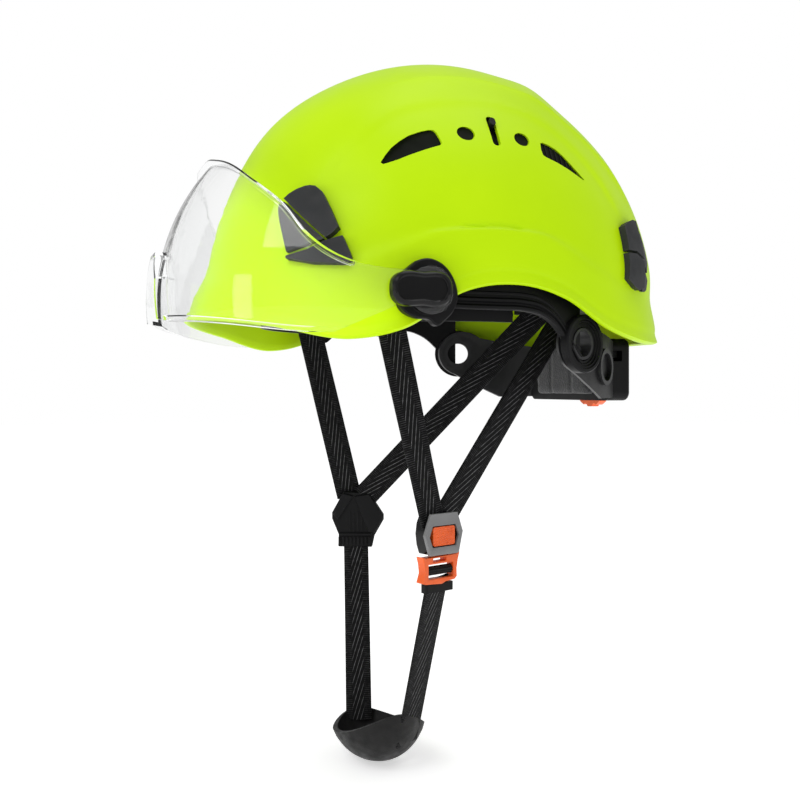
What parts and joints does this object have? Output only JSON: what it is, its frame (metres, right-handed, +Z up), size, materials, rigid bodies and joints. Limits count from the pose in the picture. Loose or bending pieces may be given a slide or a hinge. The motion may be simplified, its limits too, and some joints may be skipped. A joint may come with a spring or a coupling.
{
  "type": "forestry helmet",
  "caption": "Vented hard-shell work helmet with a tilting clear visor, lamp clips, ratchet nape adjuster and a four-point webbing chin harness with a buckle and chin cup.",
  "frame": {"origin": "middle of the wearer's head, level with the ear openings", "axes": "+X to the wearer's left, +Y to the back of the head, +Z up"},
  "size_m": [0.2366, 0.3056, 0.4142],
  "materials": {
    "shell": "satin, lightly mottled",
    "foam": "expanded foam beads",
    "padding": "knitted",
    "black_plastic": "moulded, fine grain",
    "clip_plastic": "moulded, fine grain",
    "gloss_black": "semi-gloss",
    "visor_clear": "clear polycarbonate",
    "steel": "zinc plated",
    "webbing": "twill-woven polyester",
    "orange": "satin",
    "cup_rubber": "satin"
  },
  "bodies": {
    "helmet": {"bracket_screws": "steel", "brow_band": "black_plastic", "brow_pad": "padding", "buckle_back_plate": "gloss_black", "buckle_housing": "gloss_black", "buckle_spring": "steel", "buckle_tongue": "orange", "chin_cup": "cup_rubber", "crown_pad": "padding", "foam_liner": "foam", "left_chin_strap": "webbing", "left_front_lamp_clip": "clip_plastic", "left_front_strap": "webbing", "left_front_strap_anchor": "black_plastic", "left_rear_lamp_clip": "clip_plastic", "left_rear_strap": "webbing", "left_suspension_arm": "black_plastic", "left_vent_mesh": "black_plastic", "left_visor_bracket": "gloss_black", "rear_strap_yoke": "black_plastic", "right_chin_strap": "webbing", "right_front_lamp_clip": "clip_plastic", "right_front_strap": "webbing", "right_front_strap_anchor": "black_plastic", "right_rear_lamp_clip": "clip_plastic", "right_rear_strap": "webbing", "right_suspension_arm": "black_plastic", "right_vent_mesh": "black_plastic", "right_visor_bracket": "gloss_black", "shell": "shell", "strap_divider": "black_plastic", "strap_keeper": "black_plastic"},
    "visor": {"visor_lens": "visor_clear", "left_visor_knob": "gloss_black", "right_visor_knob": "gloss_black", "visor_pins": "steel"},
    "nape": {"nape_housing": "black_plastic", "nape_cover": "black_plastic", "nape_pad": "padding", "left_side_plate": "black_plastic", "right_side_plate": "black_plastic"},
    "adjuster": {"adjuster_wheel": "orange", "knob_face": "gloss_black", "knob_cap": "gloss_black", "pinion": "black_plastic"},
    "left_rack": {"left_rack": "black_plastic"},
    "right_rack": {"right_rack": "black_plastic"},
    "button": {"buckle_button": "orange"},
    "roller": {"strap_roller": "black_plastic"},
    "left_vent": {"left_vent_slider": "black_plastic"},
    "right_vent": {"right_vent_slider": "black_plastic"}
  },
  "joints": [
    {"name": "visor_tilt", "type": "hinge", "parent": "helmet", "child": "visor", "pos_m": [0, -0.037, 0.048], "axis": [1, 0, 0], "range_deg": [-5, 48]},
    {"name": "nape_tilt", "type": "hinge", "parent": "helmet", "child": "nape", "pos_m": [0, 0.061, 0.024], "axis": [1, 0, 0], "range_deg": [-7, 7]},
    {"name": "adjuster_turn", "type": "hinge", "parent": "nape", "child": "adjuster", "pos_m": [0, 0.119, 0.011], "axis": [0, 1, 0], "range_deg": [-90, 90]},
    {"name": "left_rack_slide", "type": "slide", "parent": "nape", "child": "left_rack", "axis": [1, 0, 0], "range_m": [-0.0095, 0.0095]},
    {"name": "right_rack_slide", "type": "slide", "parent": "nape", "child": "right_rack", "axis": [1, 0, 0], "range_m": [-0.0095, 0.0095]},
    {"name": "button_press", "type": "slide", "parent": "helmet", "child": "button", "axis": [-0.9338, -0.3579, 0], "range_m": [0, 0.002], "stiffness_N_per_m": 900, "deforming": ["buckle_spring"]},
    {"name": "roller_spin", "type": "hinge", "parent": "helmet", "child": "roller", "pos_m": [0.072, -0.018, -0.0965], "axis": [-0.3579, 0.9338, 0], "range_deg": [-30, 30]},
    {"name": "left_vent_slide", "type": "hinge", "parent": "helmet", "child": "left_vent", "pos_m": [-0.0574, 0.0102, 0.0584], "axis": [0, 1, 0], "range_deg": [0, 3.4]},
    {"name": "right_vent_slide", "type": "hinge", "parent": "helmet", "child": "right_vent", "pos_m": [0.0574, 0.0102, 0.0584], "axis": [0, -1, 0], "range_deg": [0, 3.4]}
  ],
  "couplings": [
    {"joint": "left_rack_slide", "follows": "adjuster_turn", "m_per_rad": 0.006},
    {"joint": "right_rack_slide", "follows": "adjuster_turn", "m_per_rad": -0.006}
  ]
}
